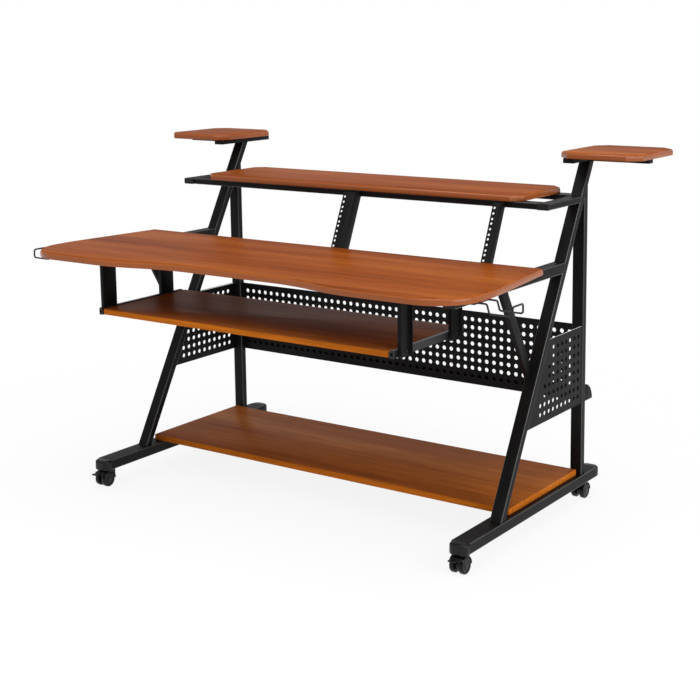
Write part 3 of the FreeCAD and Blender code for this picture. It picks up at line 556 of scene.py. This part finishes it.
LIP = 0.005
HOLE_MARGIN = 0.030
for side, facing in (("left", -1), ("right", 1)):
    node = f"{side}_side_panel"
    low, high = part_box(node)
    points = [vertex.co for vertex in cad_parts[node].data.vertices]
    slant_low = min(point.y for point in points if point.z < low[2] + SLACK)
    slant_high = min(point.y for point in points if point.z > high[2] - SLACK)
    slope = (slant_high - slant_low) / (high[2] - low[2])
    rows = round((high[2] - low[2]) / HOLE_PITCH) - 1
    holes = []
    for row in range(rows):
        # Two rows at a time end at the same distance from the slanted leg.
        pair_top = low[2] + HOLE_PITCH * (row - row % 2 + 2)
        slant = slant_low + slope * (pair_top - low[2])
        room = high[1] - HOLE_PITCH - HOLE_MARGIN - slant
        for column in range(math.floor(room / HOLE_PITCH) + 1):
            holes.append((high[1] - HOLE_PITCH * (column + 1), low[2] + HOLE_PITCH * (row + 1)))
    piece = punched_sheet([(slant_low, low[2]), (high[1], low[2]),
                           (high[1], high[2]), (slant_high, high[2])], holes)
    outer = max(facing * low[0], facing * high[0])
    x_low = facing * outer if facing < 0 else outer - SHEET
    piece.data.transform(Matrix(((0, 0, 1, x_low), (1, 0, 0, 0), (0, 1, 0, 0), (0, 0, 0, 1))))
    lip_x = sorted((facing * (outer - SHEET), facing * (outer - LIP)))
    add_box(piece, (lip_x[0], slant_high, high[2] - SHEET), (lip_x[1], high[1], high[2]))
    piece.name = f"{side}_punched_panel"
    stand_in(piece, node, "frame")

low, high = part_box("back_panel")
rows = round((high[2] - low[2]) / HOLE_PITCH) - 1
columns = math.floor((high[0] - HOLE_RADIUS - SHEET) / HOLE_PITCH)
holes = [(HOLE_PITCH * column, low[2] + HOLE_PITCH * (row + 1))
         for row in range(rows) for column in range(-columns, columns + 1)]
piece = punched_sheet([(low[0], low[2]), (high[0], low[2]), (high[0], high[2]), (low[0], high[2])], holes)
piece.data.transform(Matrix(((1, 0, 0, 0), (0, 0, -1, high[1]), (0, 1, 0, 0), (0, 0, 0, 1))))
piece.name = "back_punched_panel"
stand_in(piece, "back_panel", "frame")

# Cable tray: a folded shelf of the same sheet behind the back panel, fixed to the rear legs. Its back
# lip stands higher than the solid's, because the photograph shows the panel's bottom holes dark.
FOLD = 0.010
SEEN_FOLD = 0.020
low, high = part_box("cable_tray")
piece = eased("cable_tray", EASED_SHEET, powder_coat)
add_box(piece, (low[0] + SHEET, high[1] - SHEET, low[2] + FOLD),
        (high[0] - SHEET, high[1], low[2] + SEEN_FOLD))
stand_in(piece, "cable_tray", "frame")

# Keyboard slides: rolled steel channels screwed to the hangers and runners under the tray's sides,
# blackened and lightly greased, so lighter and shinier than the coat.
slide_black = coated("slide_black", dark=(0.007, 0.007, 0.0075), light=(0.018, 0.018, 0.019),
                     rough=(0.24, 0.36), peel_scale=300.0, peel_depth=0.00005)
for side in ("left", "right"):
    dress(f"{side}_slide_channel", slide_black)
    dress(f"{side}_slide_runner", slide_black)

# Headphone hooks: one length of round wire on each side, bent to a cradle with an upturned end and
# let into a small block under the desktop's edge, then dipped in a glossy black coat.
WIRE = 0.0025
WIRE_ROUNDING = 4
WIRE_DROP = 0.024
WIRE_SPREAD = 0.025
BLOCK_HALF = 0.0045
BLOCK_REACH = 0.715
SHOULDER = 0.745
HEEL = 0.752
BEND = 0.006
BEND_STEPS = 6
dipped = coated("dipped_black", dark=(0.006, 0.006, 0.006), light=(0.009, 0.009, 0.009),
                rough=(0.22, 0.30), peel_scale=500.0, peel_depth=0.00004)

for side, facing in (("left", -1), ("right", 1)):
    low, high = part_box(f"{side}_headphone_hook")
    inner, outer = sorted((abs(low[0]), abs(high[0])))
    tip = outer - WIRE
    level = high[2] - BLOCK_HALF
    middle = (low[1] + high[1]) / 2
    stations = [(BLOCK_REACH - WIRE, level), (SHOULDER, level), (HEEL, level - WIRE_DROP),
                (tip, level - WIRE_DROP), (tip, level)]
    route = [Vector((facing * x, middle - WIRE_SPREAD, z)) for x, z in stations]
    route += [Vector((facing * x, middle + WIRE_SPREAD, z)) for x, z in reversed(stations)]
    line = bpy.data.curves.new(f"{side}_hook_line", "CURVE")
    line.dimensions = "3D"
    line.bevel_depth = WIRE
    line.bevel_resolution = WIRE_ROUNDING
    line.use_fill_caps = True
    spline = line.splines.new("POLY")
    turned = rounded(route, [BEND] * (len(route) - 2), BEND_STEPS)
    spline.points.add(len(turned) - 1)
    for point, place in zip(spline.points, turned):
        point.co = (*place, 1.0)
    draft = bpy.data.objects.new(f"{side}_hook_line", line)
    bpy.context.scene.collection.objects.link(draft)
    piece = settled(draft)
    block_x = sorted((facing * inner, facing * BLOCK_REACH))
    add_box(piece, (block_x[0], low[1], level - BLOCK_HALF), (block_x[1], high[1], high[2]))
    piece.data.materials.clear()
    piece.data.materials.append(dipped)
    piece.name = f"{side}_headphone_wire"
    stand_in(piece, f"{side}_headphone_hook", "frame")

# Casters: twin wheels of hard black nylon, each turned with a rounded tread and a dished face, on a
# moulded hood that swivels on a plated stem in the foot; the front pair have a small brake pedal.
INNER_FACE = 0.0065
TURN_STEPS = 48
EASED_HOOD = 0.0006
# The wheel's section: distance from its inner face, and radius.
wheel_section = [
    (0.0, 0.003), (0.0, 0.0195), (0.0008, 0.0212), (0.0022, 0.0219), (0.0045, 0.022), (0.0095, 0.022),
    (0.0120, 0.0217), (0.0134, 0.0206), (0.014, 0.0190), (0.014, 0.0166), (0.0128, 0.0158),
    (0.0124, 0.0100), (0.0133, 0.0092), (0.0136, 0.0060), (0.0138, 0.003)]
wheel_nylon = coated("wheel_nylon", dark=(0.0038, 0.0038, 0.0040), light=(0.0070, 0.0070, 0.0073),
                     rough=(0.24, 0.34), peel_scale=900.0, peel_depth=0.00006, shine=0.2)
plated = coated("zinc_plate", dark=(0.35, 0.35, 0.36), light=(0.45, 0.45, 0.46),
                rough=(0.28, 0.42), peel_scale=600.0, peel_depth=0.00003)
plated.node_tree.nodes["Principled BSDF"].inputs["Metallic"].default_value = 1.0


def turned_wheel(shape, middle, facing):
    """One wheel turned about X, its dished face outward."""
    rings = []
    for step in range(TURN_STEPS):
        angle = 2 * math.pi * step / TURN_STEPS
        rings.append([shape.verts.new(middle + Vector((facing * (INNER_FACE + x), radius * math.cos(angle),
                                                       radius * math.sin(angle))))
                      for x, radius in wheel_section])
    count = len(wheel_section)
    for ring, following in zip(rings, rings[1:] + rings[:1]):
        for index in range(count):
            after = (index + 1) % count
            shape.faces.new((ring[index], ring[after], following[after], following[index]))


for end in ("front", "rear"):
    for side in ("left", "right"):
        name = f"{end}_{side}_caster"
        low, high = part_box(f"{name}_wheels")
        middle = (Vector(low) + Vector(high)) / 2
        shape = bmesh.new()
        for facing in (-1, 1):
            turned_wheel(shape, middle, facing)
        bmesh.ops.recalc_face_normals(shape, faces=shape.faces)
        wheels = piece_of(shape, f"{name}_turned_wheels", wheel_nylon)
        stand_in(wheels, f"{name}_wheels", f"{name}_wheels")
        hood = eased(f"{name}_body", EASED_HOOD, moulded_black)
        stand_in(hood, f"{name}_body", f"{name}_swivel")
        dress(f"{name}_stem", plated)
        dress(f"{name}_axle", slide_black)
        if end == "front":
            pedal = eased(f"{name}_brake_lever", EASED_HOOD, moulded_black)
            stand_in(pedal, f"{name}_brake_lever", f"{name}_brake")

# Screws: black button heads that hold each keyboard slide to its two hangers, two to a hanger,
# driven from outside with a hexagon key.
HEAD_SIDES = 12
HEAD_RADIUS = 0.0032
HANGER_SHEET = 0.003
SCREW_SPREAD = 0.011
# The head's section and its socket's, in head radii: height and radius.
head_section = [(0.0, 1.0), (0.22, 0.98), (0.42, 0.78), (0.52, 0.50)]
SOCKET_TOP, SOCKET_FLOOR = 0.52, 0.2
SOCKET_CORNER = 0.46
SOCKET_FLAT = SOCKET_CORNER * math.cos(math.pi / 6)


def ring_of(shape, height, radii):
    """A ring of points about Z at a height, one radius for each."""
    return [shape.verts.new((radius * math.cos(2 * math.pi * step / HEAD_SIDES),
                             radius * math.sin(2 * math.pi * step / HEAD_SIDES), height))
            for step, radius in enumerate(radii)]


def button_head():
    """A button head of unit radius along Z, with a hexagonal socket."""
    shape = bmesh.new()
    rings = [ring_of(shape, height, [radius] * HEAD_SIDES) for height, radius in head_section]
    for height in (SOCKET_TOP, SOCKET_FLOOR):
        rings.append(ring_of(shape, height, [SOCKET_CORNER, SOCKET_FLAT] * (HEAD_SIDES // 2)))
    for ring, following in zip(rings, rings[1:]):
        for step in range(HEAD_SIDES):
            after = (step + 1) % HEAD_SIDES
            shape.faces.new((ring[step], ring[after], following[after], following[step]))
    shape.faces.new(rings[-1])
    shape.faces.new(list(reversed(rings[0])))
    mesh = bpy.data.meshes.new("button_head")
    shape.to_mesh(mesh)
    shape.free()
    return bpy.data.objects.new("button_head", mesh)


screw_head = button_head()
bolts, bolts_in, bolts_out = node_tree("bolt_heads", [
    ("Head", "NodeSocketObject"), ("Head Radius", "NodeSocketFloat"), ("Finish", "NodeSocketMaterial")])
facing_of = bolts.nodes.new("GeometryNodeInputNamedAttribute")
facing_of.data_type = "FLOAT_VECTOR"
facing_of.inputs["Name"].default_value = "facing"
turned_to = bolts.nodes.new("FunctionNodeAlignRotationToVector")
turned_to.axis = "Z"
head_of = bolts.nodes.new("GeometryNodeObjectInfo")
placed = bolts.nodes.new("GeometryNodeInstanceOnPoints")
spots = bolts.nodes.new("GeometryNodeMeshToPoints")
bolts_real = bolts.nodes.new("GeometryNodeRealizeInstances")
bolts_finish = bolts.nodes.new("GeometryNodeSetMaterial")
for source, target in (
        (bolts_in.outputs["Geometry"], spots.inputs["Mesh"]),
        (facing_of.outputs["Attribute"], turned_to.inputs["Vector"]),
        (bolts_in.outputs["Head"], head_of.inputs["Object"]),
        (spots.outputs["Points"], placed.inputs["Points"]),
        (head_of.outputs["Geometry"], placed.inputs["Instance"]),
        (turned_to.outputs["Rotation"], placed.inputs["Rotation"]),
        (bolts_in.outputs["Head Radius"], placed.inputs["Scale"]),
        (placed.outputs["Instances"], bolts_real.inputs["Geometry"]),
        (bolts_real.outputs["Geometry"], bolts_finish.inputs["Geometry"]),
        (bolts_in.outputs["Finish"], bolts_finish.inputs["Material"]),
        (bolts_finish.outputs["Geometry"], bolts_out.inputs["Geometry"])):
    bolts.links.new(source, target)

places, ways = [], []
for side, facing in (("left", -1), ("right", 1)):
    channel_low, channel_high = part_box(f"{side}_slide_channel")
    height = (channel_low[2] + channel_high[2]) / 2
    for place in ("front", "rear"):
        low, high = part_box(f"{side}_{place}_tray_hanger")
        web = facing * (min(abs(low[0]), abs(high[0])) + HANGER_SHEET)
        for step in (-1, 1):
            places.append((web, (low[1] + high[1]) / 2 + step * SCREW_SPREAD, height))
            ways.append((facing, 0, 0))
plan = bpy.data.meshes.new("bolt_plan")
plan.from_pydata(places, [], [])
for mark, way in zip(plan.attributes.new("facing", "FLOAT_VECTOR", "POINT").data, ways):
    mark.vector = way
draft = bpy.data.objects.new("bolt_plan", plan)
bpy.context.scene.collection.objects.link(draft)
drive = draft.modifiers.new("bolts", "NODES")
drive.node_group = bolts
bolt_black = coated("bolt_black", dark=(0.012, 0.012, 0.013), light=(0.02, 0.02, 0.021),
                    rough=(0.25, 0.35), peel_scale=800.0, peel_depth=0.00003)
for name, setting in (("Head", screw_head), ("Head Radius", HEAD_RADIUS), ("Finish", bolt_black)):
    drive[socket_of(bolts, name)] = setting
heads = settled(draft)
bpy.data.objects.remove(screw_head)
heads.name = "slide_screws"
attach(heads, "frame")

# Studio: a white floor that keeps a soft shadow and turns to plain white further out, an even white
# surround, one broad light above and one from the right, and the camera of the photograph.
FLOOR_HALF = 12.0
FADE_START, FADE_END = 0.8, 2.2
NEAR_GLOW = 0.88
SURROUND = 0.64
floor_mesh = bpy.data.meshes.new("studio_floor")
floor_mesh.from_pydata([(-FLOOR_HALF, -FLOOR_HALF, 0), (FLOOR_HALF, -FLOOR_HALF, 0),
                        (FLOOR_HALF, FLOOR_HALF, 0), (-FLOOR_HALF, FLOOR_HALF, 0)], [], [(0, 1, 2, 3)])
floor = bpy.data.objects.new("studio_floor", floor_mesh)
bpy.context.scene.collection.objects.link(floor)
floor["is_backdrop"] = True


def seen_by(tree, *kinds):
    """1 for the two kinds of ray given, 0 for others."""
    rays = tree.nodes.new("ShaderNodeLightPath")
    seen = tree.nodes.new("ShaderNodeMath")
    seen.operation = "MAXIMUM"
    for socket, kind in zip(seen.inputs, kinds):
        tree.links.new(rays.outputs[kind], socket)
    return seen.outputs["Value"]


paper, tree, shader = new_finish("white_paper", 0.0)
shader.inputs["Base Color"].default_value = (0.9, 0.9, 0.9, 1.0)
shader.inputs["Roughness"].default_value = 0.9
glow = tree.nodes.new("ShaderNodeEmission")
away = tree.nodes.new("ShaderNodeVectorMath")
away.operation = "LENGTH"
share = tree.nodes.new("ShaderNodeMath")
share.operation = "MULTIPLY"
mixed = tree.nodes.new("ShaderNodeMixShader")
tree.links.new(tree.nodes.new("ShaderNodeTexCoord").outputs["Object"], away.inputs["Vector"])
whiter = ranged(tree, away.outputs["Value"], NEAR_GLOW, 1.0, FADE_START, FADE_END)
whiter.interpolation_type = "SMOOTHSTEP"
tree.links.new(seen_by(tree, "Is Camera Ray", "Is Glossy Ray"), share.inputs[0])
tree.links.new(whiter.outputs["Result"], share.inputs[1])
tree.links.new(share.outputs["Value"], mixed.inputs["Fac"])
tree.links.new(shader.outputs["BSDF"], mixed.inputs[1])
tree.links.new(glow.outputs["Emission"], mixed.inputs[2])
tree.links.new(mixed.outputs["Shader"], tree.nodes["Material Output"].inputs["Surface"])
floor_mesh.materials.append(paper)

world = bpy.data.worlds.new("studio_world")
bpy.context.scene.world = world
world.use_nodes = True
tree = world.node_tree
background = tree.nodes["Background"]
background.inputs["Color"].default_value = (1.0, 1.0, 1.0, 1.0)
strength = ranged(tree, seen_by(tree, "Is Camera Ray", "Is Transmission Ray"), SURROUND, 1.0)
tree.links.new(strength.outputs["Result"], background.inputs["Strength"])


def soft_light(name, place, target, size, watts):
    """A square area light at a place, turned to a target."""
    lamp = bpy.data.lights.new(name, "AREA")
    lamp.shape = "SQUARE"
    lamp.size = size
    lamp.energy = watts
    light = bpy.data.objects.new(name, lamp)
    aim = (Vector(target) - Vector(place)).to_track_quat("-Z", "Y")
    light.matrix_world = Matrix.Translation(place) @ aim.to_matrix().to_4x4()
    bpy.context.scene.collection.objects.link(light)


MID_DESK = (0, 0, 0.6)
soft_light("overhead_softbox", (0.3, -0.8, 3.6), MID_DESK, size=3.0, watts=84)
soft_light("right_softbox", (3.8, -0.6, 1.9), MID_DESK, size=2.2, watts=64)

CAMERA_PLACE = (2.3623, -3.1802, 1.3757)
AZIMUTH = math.radians(34.03)
ELEVATION = math.radians(9.05)
ROLL = math.radians(-0.48)
lens = bpy.data.cameras.new("photo_camera")
lens.sensor_width = 36.0
lens.lens = 71.33
lens.shift_x = -0.06
lens.shift_y = -0.15
camera = bpy.data.objects.new("photo_camera", lens)
camera.matrix_world = (Matrix.Translation(CAMERA_PLACE) @ Matrix.Rotation(AZIMUTH, 4, "Z")
                       @ Matrix.Rotation(math.pi / 2 - ELEVATION, 4, "X") @ Matrix.Rotation(ROLL, 4, "Z"))
bpy.context.scene.collection.objects.link(camera)
bpy.context.scene.camera = camera
bpy.context.scene.view_settings.view_transform = "Standard"

low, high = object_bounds()
